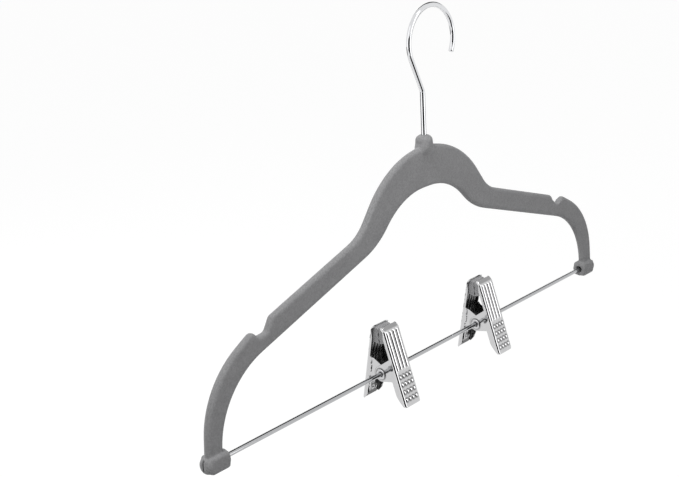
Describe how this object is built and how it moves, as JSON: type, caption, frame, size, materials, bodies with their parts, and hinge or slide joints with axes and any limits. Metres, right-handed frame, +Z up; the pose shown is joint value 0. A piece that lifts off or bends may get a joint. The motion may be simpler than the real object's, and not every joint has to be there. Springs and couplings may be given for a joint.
{
  "type": "skirt hanger",
  "caption": "Flocked hanger with shaped shoulders and strap notches, a swivelling wire hook, and a crossbar with sliding ribbed spring clips that stand on it.",
  "frame": {"origin": "the point under the top of the hook's bow where it rests on a rail", "axes": "+Z up, X along the crossbar with +X on the side the hook opens to, -Y the front"},
  "size_m": [0.436, 0.0398, 0.2676],
  "materials": {
    "flocked_plastic": "flocked, soft matt",
    "hook_wire": "polished",
    "bar_wire": "polished",
    "clip_sheet": "bright plated",
    "rivet": "plated",
    "spring_wire": "drawn wire",
    "pad": "matt grey"
  },
  "bodies": {
    "hook": {"swivel_hook": "hook_wire"},
    "hanger": {"hanger_body": "flocked_plastic", "crossbar": "bar_wire"},
    "left_sleeve": {"left_clip_sleeve": "rivet"},
    "left_rear_jaw": {"left_clip_rear_jaw": "clip_sheet", "left_clip_spring": "spring_wire", "left_clip_rear_pad": "pad"},
    "left_front_jaw": {"left_clip_front_jaw": "clip_sheet", "left_clip_front_pad": "pad"},
    "right_sleeve": {"right_clip_sleeve": "rivet"},
    "right_rear_jaw": {"right_clip_rear_jaw": "clip_sheet", "right_clip_spring": "spring_wire", "right_clip_rear_pad": "pad"},
    "right_front_jaw": {"right_clip_front_jaw": "clip_sheet", "right_clip_front_pad": "pad"}
  },
  "joints": [
    {"name": "hook_swivel", "type": "hinge", "parent": "hook", "child": "hanger", "pos_m": [-0.011, 0, -0.08425], "axis": [0, 0, 1], "continuous": true},
    {"name": "left_clip_slide", "type": "slide", "parent": "hanger", "child": "left_sleeve", "axis": [1, 0, 0], "range_m": [-0.135, 0.0456]},
    {"name": "left_clip_swing", "type": "hinge", "parent": "left_sleeve", "child": "left_rear_jaw", "pos_m": [-0.058, 0, -0.24125], "axis": [1, 0, 0], "continuous": true},
    {"name": "left_clip_open", "type": "hinge", "parent": "left_rear_jaw", "child": "left_front_jaw", "pos_m": [-0.058, 0, -0.24125], "axis": [1, 0, 0], "range_deg": [0, 30], "stiffness_Nm_per_rad": 0.15, "springref_deg": -68.75, "deforming": ["left_clip_spring"]},
    {"name": "right_clip_slide", "type": "slide", "parent": "hanger", "child": "right_sleeve", "axis": [1, 0, 0], "range_m": [-0.0456, 0.119]},
    {"name": "right_clip_swing", "type": "hinge", "parent": "right_sleeve", "child": "right_rear_jaw", "pos_m": [0.052, 0, -0.24125], "axis": [1, 0, 0], "continuous": true},
    {"name": "right_clip_open", "type": "hinge", "parent": "right_rear_jaw", "child": "right_front_jaw", "pos_m": [0.052, 0, -0.24125], "axis": [1, 0, 0], "range_deg": [0, 30], "stiffness_Nm_per_rad": 0.15, "springref_deg": -68.75, "deforming": ["right_clip_spring"]}
  ]
}
